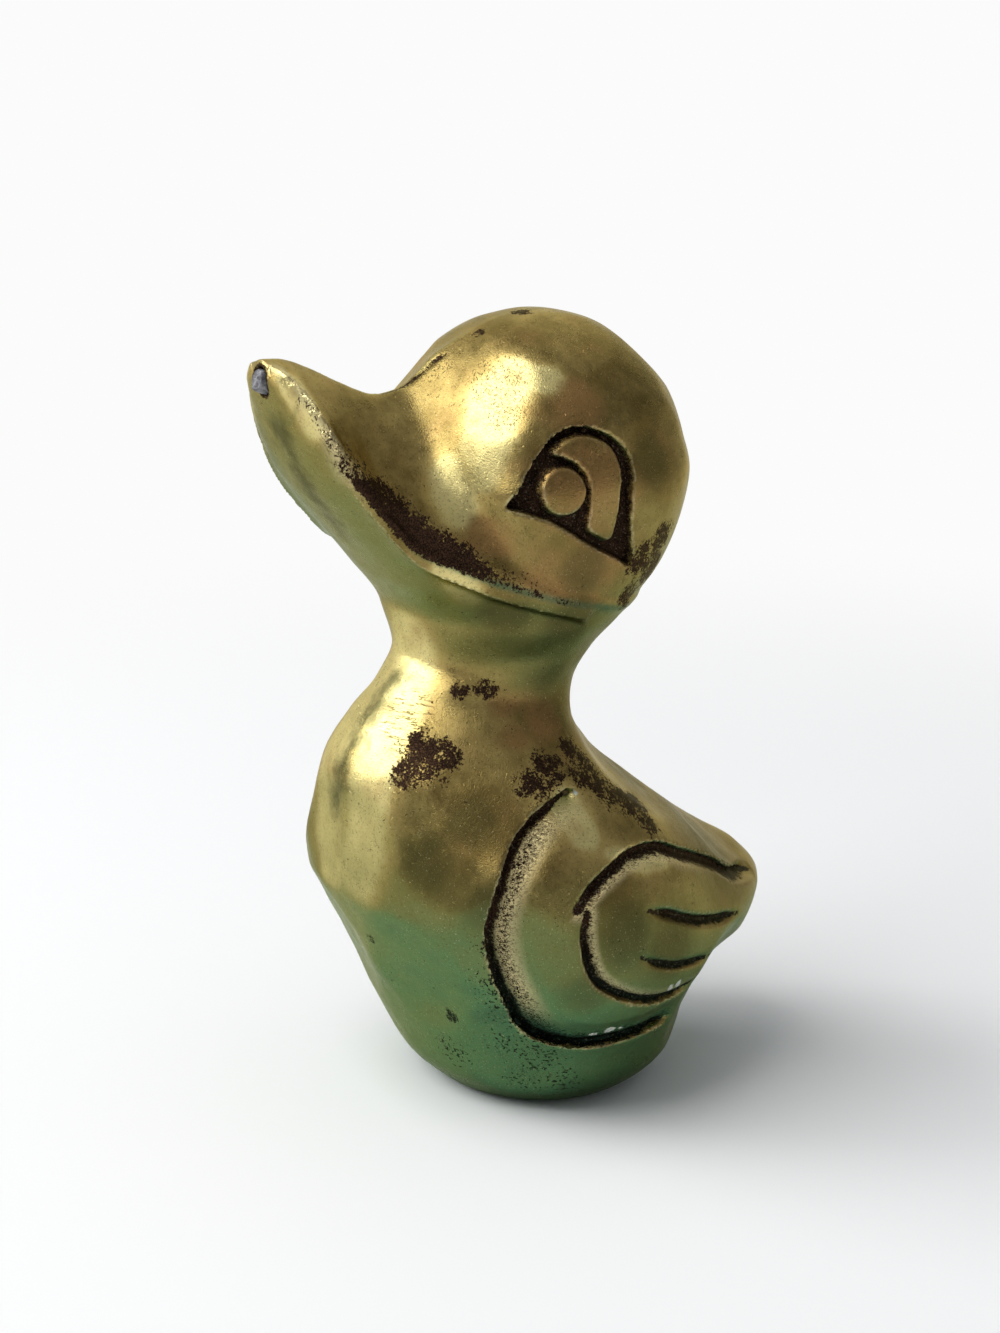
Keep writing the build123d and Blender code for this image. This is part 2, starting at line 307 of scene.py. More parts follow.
def head(x, y, z):
    """A ball whose cheeks are squarer than its crown and back."""
    u, v, w = (np.abs(a - b) / HEAD_RADIUS for a, b in zip((x, y, z), HEAD_MIDDLE))
    power = 2.0 + np.clip((66.0 - z) / 9.5, 0, 1) * step(2.0, -6.0, y) * 0.9
    flat = (u**power + v**power) ** (2 / power)
    return (np.sqrt(flat + w * w) - 1) * HEAD_RADIUS


def jaw_height(y):
    return along(y, JAW[:, 0], JAW[:, 1])


def upper_bill(x, y, z):
    """The roof of the bill, from its ridge down to a narrow ledge inside the jaw's edge."""
    low, high = jaw_height(y), along(y, RIDGE[:, 0], RIDGE[:, 1])
    half = along(y, JAW[:, 0], JAW[:, 2])
    share = np.clip(np.abs(x) / half, 0, 1.3)
    inset = step(-22.5, -25.0, y)
    edge = low - 0.4 - 0.5 * inset
    roof = edge + (high - edge) * (1 - share**1.3)
    rise = (z - roof) * 0.72
    side = trunk(x, y, z, np.broadcast_to(low, np.broadcast(y, z).shape)) + 0.16 + 0.19 * inset
    return np.maximum(np.maximum(rise, side), np.maximum(y + 2.0, low - 1.5 - z))


def cheeks(x, y, z):
    """The sides of the head between the jaw's edge and the ball, a narrow ledge inside the jaw."""
    ledge = 0.05 + 0.15 * step(-2.0, -11.0, y)
    side = trunk(x, y, z, np.minimum(z, 57.0)) + ledge
    return blend_high(blend_high(side, (-9.5 - y) * 0.75, 2.5), (z - 57.5) * 0.8, 2.0)


def solid(x, y, z):
    """The plain form, before anything is filed or cut."""
    low = jaw_height(y)
    lean = (jaw_height(y + 0.05) - jaw_height(y - 0.05)) / 0.1
    cut = (z - low) / np.sqrt(1 + lean * lean)
    lower = blend_high(trunk(x, y, z), cut, 0.35 + 1.8 * step(-23.0, -25.5, y))
    upper = blend_low(head(x, y, z), cheeks(x, y, z), 1.5)
    upper = blend_high(upper, (low - 0.1 - z) * 0.85, 0.3)
    upper = blend_low(upper, upper_bill(x, y, z), 2.2)
    whole = blend_low(lower, upper, 0.5 + 0.65 * step(-6.0, 4.0, y))
    return blend_high(whole, -z, 0.5)


def slope_of(form, p, reach=0.02):
    """The gradient of a field at points."""
    g = np.empty_like(p)
    for axis in range(3):
        move = np.zeros(3)
        move[axis] = reach
        g[:, axis] = (form(*(p + move).T) - form(*(p - move).T)) / (2 * reach)
    return g


def settle(form, p, rounds=4, most=0.4):
    """Points moved onto the zero of a field, along its gradient."""
    for _ in range(rounds):
        g = slope_of(form, p)
        size = np.maximum((g * g).sum(1), 0.05)
        move = -(form(*p.T) / size)[:, None] * g
        length = np.sqrt((move * move).sum(1))[:, None]
        p = p + move * np.minimum(1, most / np.maximum(length, 1e-9))
    return p


# Filed and cast flats on the left side: a point near the surface, and how deep each flat goes.
FLATS = [
    ((7.9, -8.0, 64.2), 0.48, 0.25),
    ((10.4, -3.6, 64.2), 0.26, 0.4),
    ((6.0, 0.5, 68.5), 0.12, 0.8),
    ((2.7, 9.6, 66.1), 0.45, 0.6),
    ((11.5, 6.5, 58.5), 0.25, 0.8),
    ((3.1, -19.0, 25.0), 0.45, 1.0),
    ((11.3, -15.8, 26.8), 0.35, 1.2),
    ((6.5, -16.0, 14.0), 0.40, 1.6),
    ((13.0, -12.0, 30.0), 0.35, 1.2),
    ((15.5, -11.0, 18.0), 0.35, 1.4),
    ((12.0, -9.0, 7.0), 0.25, 1.4),
    ((2.2, -16.6, 35.3), 0.30, 0.9),
    ((8.0, 6.0, 29.0), 0.30, 1.2),
    ((5.0, 17.0, 20.0), 0.35, 1.2),
    ((11.0, 10.0, 10.0), 0.35, 1.4),
]
# How fast a flat fades, and from how far from its middle.
FLAT_FADE, FLAT_REACH = 0.1, 3.0
# A fine crease along the joint, where the bill meets the forehead.
CREASE = [
    (0.0, -14.6, 63.9), (0.0, -13.4, 64.1), (0.1, -12.0, 64.6),
    (0.3, -10.8, 65.4), (0.6, -9.7, 66.3), (0.9, -8.9, 66.9),
]
CREASE_DEPTH, CREASE_EDGE, CREASE_FLOOR = 0.22, 0.35, 0.05
# The wing's own groove and soft bevel: distance inwards from its line, and depth there.
WING_PLACES, WING_DEPTHS = [-0.55, -0.2, 0.25, 0.8, 2.4], [0, 1.1, 1.15, 0.5, 0.0]
# The other cuts: line, half width and depth. Then half the width of a soft edge, and the eye's depth.
TOOL_CUTS = (("top", 0.42, 0.85), ("lower", 0.36, 0.85), ("slot_a", 0.34, 0.7), ("slot_b", 0.27, 0.6))
TOOL_EDGE, EYE_DEPTH = 0.28, 0.85
# The cuts start and are full at these distances from the middle of the duck.
SIDE_START, SIDE_FULL = 3.5, 6.0
# Unevenness of the casting: height, size and seed.
UNEVEN = ((0.05, 4.0, 3), (0.025, 1.6, 5))


def run_distance(x, y, z, runs):
    """Distance from points to a line of runs in space."""
    best = 1e9
    for (ax, ay, az), (bx, by, bz) in zip(runs, runs[1:]):
        ex, ey, ez = bx - ax, by - ay, bz - az
        t = ((x - ax) * ex + (y - ay) * ey + (z - az) * ez) / (ex * ex + ey * ey + ez * ez)
        t = np.clip(t, 0, 1)
        gap = (x - ax - t * ex) ** 2 + (y - ay - t * ey) ** 2 + (z - az - t * ez) ** 2
        best = np.minimum(best, gap)
    return np.sqrt(best)


def flat_planes():
    """The planes of the flats, from the slope of the plain form."""
    points = settle(solid, np.array([flat[0] for flat in FLATS]), 12, 2.0)
    normals = slope_of(solid, points)
    normals /= np.linalg.norm(normals, axis=1)[:, None]
    depths = np.array([flat[1] for flat in FLATS])
    return normals, (points * normals).sum(1) - depths, points


PLANES = flat_planes()
LINES = {
    "wing": rounded_line(WING_GROOVE),
    "top": rounded_line(FEATHER_TOP),
    "lower": rounded_line(FEATHER_LOWER),
    "slot_a": rounded_line(SLOT_UPPER),
    "slot_b": rounded_line(SLOT_LOWER),
    "eye": rounded_line(EYE, True, 4),
    "crescent": rounded_line(CRESCENT, True, 4),
}


def flats(form, x, y, z):
    """The form with its flats filed on."""
    ax = np.abs(x)
    for (nx, ny, nz), offset, (px, py, pz), flat in zip(*PLANES, FLATS):
        plane = nx * ax + ny * y + nz * z - offset
        away = np.sqrt((ax - px) ** 2 + (y - py) ** 2 + (z - pz) ** 2)
        form = blend_high(form, plane - FLAT_FADE * np.maximum(away - FLAT_REACH, 0) ** 2, flat[2])
    return form


def eye_gap(y, z):
    """Distance into the eye's sunken ground, negative on its raised parts and outside."""
    pupil = np.hypot(y - PUPIL[0], z - PUPIL[1]) - PUPIL_RADIUS
    island = np.minimum(region(y, z, LINES["crescent"]) - 0.26, pupil - 0.1)
    return np.minimum(-region(y, z, LINES["eye"]) - 0.05, island)


def end_distance(y, z, line, start=0.0):
    """Distance to the nearer end of a line, with more added at its start."""
    first, last = line[0], line[-1]
    return np.minimum(np.hypot(y - first[0], z - first[1]) + start, np.hypot(y - last[0], z - last[1]))


def carving(y, z):
    """How deep the left side is cut, seen from +X."""
    y, z = np.broadcast_arrays(y, z)
    depth = np.zeros(y.shape)
    wing, side = line_distance(y, z, LINES["wing"])
    within = np.where(side > 0, wing, -wing)
    bevel = np.interp(within, WING_PLACES, WING_DEPTHS)
    fade = step(6.5, 3.0, y)
    depth = np.maximum(depth, bevel * np.where(y > 2.0, fade, 1.0))
    for name, width, deep in TOOL_CUTS:
        away = line_distance(y, z, LINES[name])[0]
        taper = 0.2 + 0.8 * step(0.0, 3.0, end_distance(y, z, LINES[name]))
        width = width * (0.5 + 0.5 * taper) if name.startswith("slot") else width
        depth = np.maximum(depth, deep * taper * step(width + TOOL_EDGE, width - TOOL_EDGE, away))
    recess = step(-0.2, 0.2, eye_gap(y, z))
    return np.maximum(depth, EYE_DEPTH * recess)


# The carving is worked out once, on a fine table over Y and Z.
CUT_CELL, CUT_LOW, CUT_COUNT = 0.14, (-28.5, -2.0), (400, 535)
CUT_Y, CUT_Z = (low + CUT_CELL * np.arange(count) for low, count in zip(CUT_LOW, CUT_COUNT))
CUTS = carving(CUT_Y[:, None], CUT_Z[None, :])


def cut_at(y, z):
    """The depth of the carving at points, from its table."""
    y, z = np.broadcast_arrays((y - CUT_LOW[0]) / CUT_CELL, (z - CUT_LOW[1]) / CUT_CELL)
    j = np.clip(y.astype(int), 0, CUTS.shape[0] - 2)
    k = np.clip(z.astype(int), 0, CUTS.shape[1] - 2)
    v, w = y - j, z - k
    near = CUTS[j, k] * (1 - w) + CUTS[j, k + 1] * w
    return near * (1 - v) + (CUTS[j + 1, k] * (1 - w) + CUTS[j + 1, k + 1] * w) * v


def duck(x, y, z):
    """The whole duck."""
    form = flats(solid(x, y, z), x, y, z)
    for height, size, seed in UNEVEN:
        form = form + height * noise(x, y, z, size, seed)
    form = form + cut_at(y, z) * step(SIDE_START, SIDE_FULL, np.abs(x))
    form = form + CREASE_DEPTH * step(CREASE_EDGE, CREASE_FLOOR, run_distance(x, y, z, CREASE))
    mouth = np.maximum((np.sqrt((x / MOUTH_WIDTH) ** 2 + (y / MOUTH_LENGTH) ** 2) - 1) * 5.0, z - MOUTH_DEPTH)
    form = np.maximum(form, -mouth)
    return np.maximum(form, -plug_room(x, y, z))


def plug_room(x, y, z):
    """The hole at the tip of the bill, which points along the bill."""
    axis = np.array(PLUG_AIM) - np.array(PLUG_TOP)
    axis /= np.linalg.norm(axis)
    dx, dy, dz = x - PLUG_TOP[0], y - PLUG_TOP[1], z - PLUG_TOP[2]
    deep = dx * axis[0] + dy * axis[1] + dz * axis[2]
    out = np.sqrt(np.maximum(dx * dx + dy * dy + dz * dz - deep * deep, 0))
    return np.maximum(out - PLUG_RADIUS, np.abs(deep) - PLUG_DEPTH)


# Meshing.
# The box that the skin is looked for in, and how close to the plain form it lies.
SKIN_LOW, SKIN_HIGH, CLOSE = (-20.6, -27.6, -0.9), (20.6, 26.4, 71.2), 3.2


def level_set(form, plain, low, high, cell):
    """Vertices and four-sided faces on the zero of a field that stays near a plainer one."""
    axes = [np.arange(a, b + cell, cell) for a, b in zip(low, high)]
    x, y, z = axes[0][:, None, None], axes[1][None, :, None], axes[2][None, None, :]
    value = plain(x, y, z)
    close = np.nonzero(np.abs(value) < CLOSE)
    value[close] = form(*(axis[index] for axis, index in zip(axes, close)))
    shape = np.array(value.shape)
    cells = shape - 1
    inner = value < 0
    count = np.zeros(cells.prod())
    total = np.zeros((3, cells.prod()))
    crossings = []
    for axis in range(3):
        first = [slice(None)] * 3
        second = [slice(None)] * 3
        first[axis], second[axis] = slice(0, -1), slice(1, None)
        flips = inner[tuple(first)] != inner[tuple(second)]
        at = np.stack(np.nonzero(flips))
        a = value[tuple(first)][flips]
        b = value[tuple(second)][flips]
        t = a / (a - b)
        place = at.astype(float)
        place[axis] += t
        one, two = [k for k in range(3) if k != axis]
        keep = (at[one] > 0) & (at[two] > 0) & (at[one] < cells[one]) & (at[two] < cells[two])
        at, place, a = at[:, keep], place[:, keep], a[keep]
        around = []
        for s, r in ((0, 0), (1, 0), (1, 1), (0, 1)):
            c = at.copy()
            c[one] -= s
            c[two] -= r
            index = np.ravel_multi_index(c, cells)
            around.append(index)
            count += np.bincount(index, minlength=len(count))
            for k in range(3):
                total[k] += np.bincount(index, weights=place[k], minlength=len(count))
        turn = (a < 0) if axis != 1 else (a >= 0)
        quads = np.stack(around, 1)
        quads[~turn] = quads[~turn][:, ::-1]
        crossings.append(quads)
    used = np.flatnonzero(count)
    number = np.full(len(count), -1)
    number[used] = np.arange(len(used))
    points = (total[:, used] / count[used]).T * cell + np.array([axis[0] for axis in axes])
    return points, number[np.vstack(crossings)]


def evened(points, quads, rounds):
    """Vertices drawn towards the middle of their neighbours."""
    count = np.bincount(quads.ravel(), minlength=len(points))[:, None]
    for _ in range(rounds):
        centre = points[quads].mean(1)
        new = np.zeros_like(points)
        for k in range(3):
            new[:, k] = np.bincount(quads.ravel(), weights=np.repeat(centre[:, k], 4), minlength=len(points))
        points = 0.5 * points + 0.5 * new / np.maximum(count, 1)
    return points


def skin():
    """The whole skin as one mesh, before it is cut into pieces."""
    points, quads = level_set(duck, solid, SKIN_LOW, SKIN_HIGH, CELL)
    points = settle(duck, evened(points, quads, 1), 3)
    return points, quads


# Marks on the skin.
# Dark patina patches on the skin: place and reach.
PATCHES = [
    ((7.2, -14.6, 33.6), 2.9), ((6.5, -16.2, 32.2), 1.9), ((8.1, -13.4, 33.9), 2.0),
    ((6.4, -15.0, 34.8), 1.6), ((7.4, -8.9, 39.0), 1.2), ((6.2, -10.7, 38.8), 1.0),
    ((12.5, -7.4, 31.4), 1.9), ((11.7, -5.2, 32.4), 2.1), ((10.0, -1.8, 32.9), 2.0),
    ((11.8, -2.0, 31.6), 1.9), ((12.7, 0.0, 30.0), 2.6), ((11.6, -1.4, 32.2), 2.4),
    ((12.6, -6.4, 32.2), 2.2), ((13.0, 2.2, 28.6), 2.4), ((14.2, 3.8, 26.8), 2.0),
    ((11.8, 4.2, 28.0), 1.6), ((12.0, 3.6, 49.8), 2.0), ((10.8, 5.6, 48.6), 2.4),
    ((11.2, 6.0, 51.0), 2.2), ((11.0, 3.0, 46.6), 1.8), ((0.8, -1.3, 69.9), 1.2),
    ((1.3, -5.7, 68.4), 0.7), ((8.1, -13.0, 10.0), 0.9), ((1.6, -17.3, 16.0), 0.7),
    ((-10.5, -8.0, 33.0), 3.0), ((-13.5, 2.0, 28.0), 2.6), ((-9.5, 6.5, 49.0), 2.4),
    ((-13.5, -4.0, 5.0), 2.6), ((-4.0, 15.0, 22.0), 2.2), ((0.5, 13.0, 50.0), 1.8),
    ((5.0, 16.0, 10.0), 2.0),
]
# Fine dark stipple on the green: place and reach.
STIPPLE = [
    ((12.9, -6.7, 6.3), 3.4), ((10.6, -7.1, 3.5), 2.8), ((12.9, -4.7, 4.0), 3.0),
    ((11.5, -9.5, 7.6), 2.8), ((14.6, -8.6, 10.4), 2.8), ((14.0, -7.4, 8.4), 3.0),
    ((14.7, -13.0, 18.4), 2.2), ((13.9, -12.9, 15.0), 2.6), ((14.0, -11.6, 13.0), 2.8),
    ((13.4, -11.2, 10.0), 3.0), ((-13.5, -6.0, 6.0), 4.0), ((6.0, -11.5, 6.0), 3.0),
]
# White polish dried in the grooves.
CHALK = [
    ((16.5, -3.5, 8.9), 0.75), ((17.0, -2.1, 9.3), 0.8), ((17.1, -1.0, 9.2), 0.6), ((17.1, -0.3, 9.1), 0.5),
    ((16.8, 3.2, 9.6), 0.6), ((18.1, 3.5, 12.5), 0.6), ((17.8, 4.6, 12.6), 0.6), ((13.8, -4.2, 30.1), 0.6),
    ((13.2, -3.4, 30.4), 0.45), ((-16.8, -1.0, 9.0), 0.7),
]
# File strokes: place, reach, and which of the two stroke directions.
STROKES = [
    ((6.5, -6.9, 65.2), 3.0, 0), ((8.7, -7.3, 63.0), 2.4, 0), ((6.5, -3.4, 67.4), 2.0, 0),
    ((6.5, 0.6, 68.0), 2.6, 0), ((4.5, 5.0, 68.0), 2.4, 0),
    ((3.8, -14.8, 36.6), 3.0, 1), ((5.2, -15.4, 35.2), 2.2, 1), ((-2.3, -16.3, 35.7), 2.2, 1),
    ((0.0, -19.0, 30.0), 2.5, 1), ((0.0, 8.0, 66.0), 3.5, 0), ((-7.0, -6.0, 64.5), 3.0, 0),
    ((0.0, -9.5, 66.0), 2.6, 0),
]
# Stains along the joint, under the bill and down the breast: runs and their reach.
STAINS = [
    ([(0.5, -24.6, 62.0), (0.5, -24.0, 60.4), (0.5, -23.2, 58.7),
      (0.5, -21.8, 56.4), (0.4, -20.4, 54.6), (0.0, -18.8, 52.6)], 3.2),
    ([(0.0, -13.6, 39.0), (0.0, -14.5, 37.9), (0.2, -16.3, 36.0),
      (0.0, -17.6, 33.9), (-0.9, -18.5, 31.1), (-1.8, -19.0, 28.0)], 2.7),
]
# Tone on the left side, mirrored on the right: runs of polish that also carry painted highlights, spots of
# painted shade, and reddish places.
POLISH_AND_HIGHLIGHT_RUNS = [
    ([(7.6, -6.4, 65.6), (7.4, -8.2, 63.8), (8.6, -9.0, 61.0), (8.8, -10.4, 58.4)], 2.7),
    ([(8.6, -4.6, 65.4), (9.2, -3.6, 65.2)], 1.6),
    ([(7.8, -12.2, 58.0), (8.2, -12.4, 55.0)], 2.4),
    ([(9.4, -13.4, 50.4), (9.8, -12.6, 48.0)], 1.9),
    ([(0.6, -12.2, 42.0), (1.4, -13.0, 39.2), (2.4, -15.0, 37.0), (3.0, -17.2, 33.6), (3.4, -18.6, 29.0),
      (3.2, -19.1, 25.0), (1.8, -19.1, 21.5), (0.0, -17.6, 16.5)], 3.4),
    ([(13.6, -4.8, 29.6), (15.6, -4.4, 27.0)], 1.8),
    ([(16.4, -2.4, 25.2), (17.2, 0.6, 24.6), (16.4, 3.6, 24.2)], 1.3),
    ([(3.6, -25.2, 66.4), (4.6, -24.6, 64.6), (5.4, -24.2, 62.6)], 1.5),
]
# Painted shade: the brass is darker and a little rougher in these spots.
PAINTED_SHADE_SPOTS = [
    ((7.5, -1.4, 37.8), 6.0), ((10.4, -8.8, 46.2), 3.6), ((11.0, -3.0, 45.6), 4.4),
    ((12.4, 4.5, 58.0), 4.5), ((19.4, -2.5, 19.0), 5.0), ((18.8, 3.0, 16.5), 5.0),
    ((12.0, -13.0, 29.0), 4.0), ((10.5, -16.6, 25.5), 4.0), ((8.2, 13.5, 22.5), 9.0),
    ((14.0, -12.5, 22.0), 4.0), ((6.0, 8.0, 30.0), 6.0), ((17.5, -5.5, 14.5), 4.0),
    ((12.6, -2.4, 49.8), 4.0), ((8.6, 2.0, 41.5), 5.0),
]
REDDISH = [
    ((11.5, -2.7, 62.9), 3.6), ((12.2, -5.0, 49.4), 3.8), ((12.6, -0.5, 49.6), 3.0), ((8.0, -7.8, 37.4), 2.2),
    ((9.4, -7.5, 35.2), 2.0), ((10.6, -10.5, 53.0), 2.6), ((9.0, -4.0, 36.0), 2.6), ((12.9, -2.5, 56.8), 5.5),
]


# How far the dark of a cut reaches from its line, and how far its start is kept from a taper.
DARK_REACH = (
    ("wing", 0.86, 0.0), ("top", 0.80, 9.0), ("lower", 0.68, 9.0),
    ("slot_a", 0.72, 0.0), ("slot_b", 0.58, 0.0),
)
# The dark band above the jaw's edge: place along Y and width.
JAW_PLACES = [-23.5, -21.8, -19.5, -17, -14.5, -12, -9, -6, -3]
JAW_WIDTHS = [0, 1.0, 2.4, 3.2, 3.0, 2.5, 1.8, 1.2, 0]


def reach_of(p, spots):
    """1 at the middle of a spot, 0 at its edge, negative beyond it."""
    best = np.full(len(p), -1.0)
    for place, radius, *_ in spots:
        best = np.maximum(best, 1 - np.linalg.norm(p - np.array(place), axis=1) / radius)
    return best


def above_edge(x, y, z):
    """Distance above the jaw's edge."""
    lean = (jaw_height(y + 0.05) - jaw_height(y - 0.05)) / 0.1
    return (z - jaw_height(y)) / np.sqrt(1 + lean * lean)


def marks(p, curve):
    """What the material needs to know about each vertex."""
    x, y, z = p.T
    out = {}
    sides = step(SIDE_START, SIDE_FULL, np.abs(x))
    wing, turn = line_distance(y, z, LINES["wing"])
    within = np.where(turn > 0, wing, -wing)
    bevel = step(0.3, 0.6, within) * step(2.1, 0.7, within) * step(8.0, 3.0, y) * sides * step(30.5, 27.0, z)
    gap = eye_gap(y, z)
    top, top_side = line_distance(y, z, LINES["top"])
    lower, lower_side = line_distance(y, z, LINES["lower"])
    rim = np.maximum(step(1.3, 0.5, top) * (top_side < 0), step(1.2, 0.4, lower) * (lower_side > 0))
    rim = rim * step(12.0, 3.0, y)
    cuts = 0.5 + 0.5 * np.clip(gap / 0.35, -1, 1)
    for name, reach, start in DARK_REACH:
        taper = 0.35 + 0.65 * step(0.0, 4.0, end_distance(y, z, LINES[name], start))
        cuts = np.maximum(cuts, 1 - line_distance(y, z, LINES[name])[0] / (reach * taper))
    cuts = cuts * sides
    crease = 1 - run_distance(x, y, z, CREASE) / 0.45
    rim_of_plug = 1 - np.abs(plug_room(x, y, z)) / 0.5
    out["groove"] = np.clip(np.maximum(np.maximum(cuts, crease), rim_of_plug), 0, 1)
    ground = 0.5 * step(0.0, 0.3, gap) * sides
    out["coarse"] = np.clip(np.maximum(np.maximum(bevel, 0.8 * rim * sides), ground), 0, 1)
    rise = above_edge(x, y, z)
    width = np.interp(y, JAW_PLACES, JAW_WIDTHS)
    band = np.minimum((width - rise) / 2.4, rise * 1.6 + 1.0)
    jaw = np.where((np.abs(x) > 2.5) & (y < -3), band, -1.0)
    crisp = step(-8.0, -15.0, y)
    jaw = np.minimum(jaw, 0.2 + 0.8 * crisp)
    spots = np.minimum(reach_of(p, PATCHES), 0.46)
    out["patch"] = np.clip(np.maximum(spots, jaw - 0.12 * (1 - crisp)), -1, 1)
    out["stipple"] = step(0.0, 0.8, reach_of(p, STIPPLE))
    out["chalk"] = np.clip(reach_of(p, CHALK), -1, 1)
    stain = np.full(len(p), -1.0)
    for runs, reach in STAINS:
        stain = np.maximum(stain, 1 - run_distance(x, y, z, runs) / reach)
    out["stain"] = stain
    fold = np.column_stack([np.abs(x), y, z])
    # Polish that also carries painted highlights, along runs mirrored on both sides.
    shine = np.full(len(p), -1.0)
    for runs, reach in POLISH_AND_HIGHLIGHT_RUNS:
        shine = np.maximum(shine, 1 - run_distance(np.abs(x), y, z, runs) / reach)
    out["polish_and_highlight"] = step(-0.5, 0.7, shine)
    # Spots of painted shade, and reddish places, mirrored on both sides.
    for name, spots in (("painted_shade", PAINTED_SHADE_SPOTS), ("reddish", REDDISH)):
        out[name] = step(-0.25, 0.75, reach_of(fold, spots))
    for kind in (0, 1):
        spots = [spot for spot in STROKES if spot[2] == kind]
        out["strokes_%d" % kind] = step(0.0, 0.5, reach_of(p, spots))
    out["edge"] = np.clip(curve, -1, 1)
    out["lip"] = step(0.75, 0.15, np.abs(rise + 0.15)) * step(-20.0, -22.8, y) * step(0.5, 2.0, np.abs(x))
    # A painted teal reflection: a line along the jaw's edge, and a patch on the far side under the jaw.
    edge_line = step(0.5, 0.1, np.abs(rise + 0.25)) * step(-18.0, -14.0, y) * step(9.0, 3.0, y)
    far_side = 0.9 * step(-1.5, -5.0, x) * step(-12.5, -16.0, y) * step(44.0, 48.0, z)
    out["teal_reflection"] = np.maximum(edge_line, far_side * step(0.5, -0.5, rise))
    return out


def bulge(points, quads):
    """How sharply the surface bends outwards at each vertex, about -1 to 1."""
    mesh = bpy.data.meshes.new("bulge")
    mesh.from_pydata(points.tolist(), [], quads.tolist())
    normals = np.empty(len(points) * 3)
    mesh.vertices.foreach_get("normal", normals)
    bpy.data.meshes.remove(mesh)
    wide = evened(points, quads, 6)
    return ((points - wide) * normals.reshape(-1, 3)).sum(1) / 0.12


# Materials.
class Shader:
    """A node tree, with short ways to add to it."""

    def __init__(self, name):
        self.material = bpy.data.materials.new(name)
        self.material.use_nodes = True
        self.tree = self.material.node_tree
        self.tree.nodes.clear()
        self.out = self.add("ShaderNodeOutputMaterial")
        self.surface = self.add("ShaderNodeBsdfPrincipled")
        self.link(self.surface.outputs["BSDF"], self.out.inputs["Surface"])
        coords = self.add("ShaderNodeTexCoord")
        scale = self.add("ShaderNodeVectorMath", operation="SCALE")
        scale.inputs["Scale"].default_value = 1 / MM
        self.link(coords.outputs["Object"], scale.inputs[0])
        self.place = scale.outputs[0]

    def add(self, kind, **values):
        node = self.tree.nodes.new(kind)
        for key, value in values.items():
            setattr(node, key, value)
        return node

    def link(self, a, b):
        self.tree.links.new(a, b)

    def feed(self, socket, value):
        """A number, a colour or another node's output, into a socket."""
        if isinstance(value, bpy.types.NodeSocket):
            self.link(value, socket)
        elif isinstance(value, (int, float)):
            socket.default_value = value
        else:
            socket.default_value = (*value, 1.0)[: len(socket.default_value)]

    def mark(self, name):
        return self.add("ShaderNodeAttribute", attribute_name=name).outputs["Fac"]

    def sum(self, a, b, operation="ADD", clamp=False):
        node = self.add("ShaderNodeMath", operation=operation, use_clamp=clamp)
        self.feed(node.inputs[0], a)
        self.feed(node.inputs[1], b)
        return node.outputs[0]

    def times(self, a, b):
        return self.sum(a, b, "MULTIPLY")

    def higher(self, a, b):
        return self.sum(a, b, "MAXIMUM")

    def ramp(self, value, low, high, to_low=0.0, to_high=1.0):
        """A soft step between two levels."""
        node = self.add("ShaderNodeMapRange", interpolation_type="SMOOTHSTEP")
        self.feed(node.inputs["Value"], value)
        for key, number in (("From Min", low), ("From Max", high), ("To Min", to_low), ("To Max", to_high)):
            node.inputs[key].default_value = number
        return node.outputs["Result"]

    def noise(self, size, detail=3.0, rough=0.5, stretch=None, warp=0.0):
        """Noise about 0 to 1 with features of a size in millimetres."""
        node = self.add("ShaderNodeTexNoise")
        where = self.place
        if stretch:
            bend = self.add("ShaderNodeMapping")
            bend.inputs["Rotation"].default_value = stretch[0]
            bend.inputs["Scale"].default_value = stretch[1]
            self.link(where, bend.inputs["Vector"])
            where = bend.outputs[0]
        self.link(where, node.inputs["Vector"])
        node.inputs["Scale"].default_value = 1 / size
        node.inputs["Detail"].default_value = detail
        node.inputs["Roughness"].default_value = rough
        node.inputs["Distortion"].default_value = warp
        return node.outputs["Fac"]

    def blend(self, share, a, b, mode="MIX"):
        node = self.add("ShaderNodeMix", data_type="RGBA", blend_type=mode)
        self.feed(node.inputs["Factor"], share)
        sockets = [s for s in node.inputs if s.type == "RGBA"]
        self.feed(sockets[0], a)
        self.feed(sockets[1], b)
        return node.outputs[2]

    def bump(self, height, distance, strength=1.0, normal=None):
        node = self.add("ShaderNodeBump")
        node.inputs["Strength"].default_value = strength
        node.inputs["Distance"].default_value = distance * MM
        self.feed(node.inputs["Height"], height)
        if normal is not None:
            self.link(normal, node.inputs["Normal"])
        return node.outputs[0]


# Colours of the brass, of its cut and worn places, of what lies on it, and of its painted highlight, shade
# and green reflection.
CLEAN, CLEAN_BRAZE = (0.53, 0.395, 0.135), (0.56, 0.46, 0.17)
AGED, POLISH_AND_HIGHLIGHT = (0.21, 0.147, 0.044), (0.79, 0.68, 0.29)
COPPERY, OLIVE, GREEN = (0.34, 0.195, 0.070), (0.150, 0.155, 0.048), (0.082, 0.195, 0.084)
TEAL, SHADED, STAIN = (0.018, 0.115, 0.075), (0.055, 0.052, 0.018), (0.034, 0.040, 0.016)
WORN_EDGE, CUT_METAL = (0.85, 0.75, 0.45), (0.86, 0.73, 0.40)
PIT, SPARK = (0.10, 0.072, 0.026), (0.82, 0.74, 0.42)
SOIL, PALE_SOIL, GREEN_SOIL = (0.016, 0.010, 0.007), (0.085, 0.045, 0.026), (0.012, 0.022, 0.015)
GRAIN, DRIED_POLISH, EDGE_TINT = (0.32, 0.29, 0.20), (0.50, 0.54, 0.47), (0.80, 0.76, 0.56)
# File strokes: how the noise is turned and stretched, for each of the two directions.
STROKE_WAYS = (((0.35, 0.25, -0.6), (6.0, 6.0, 0.5)), ((0.1, 0.15, 0.5), (0.5, 0.8, 7.0)))


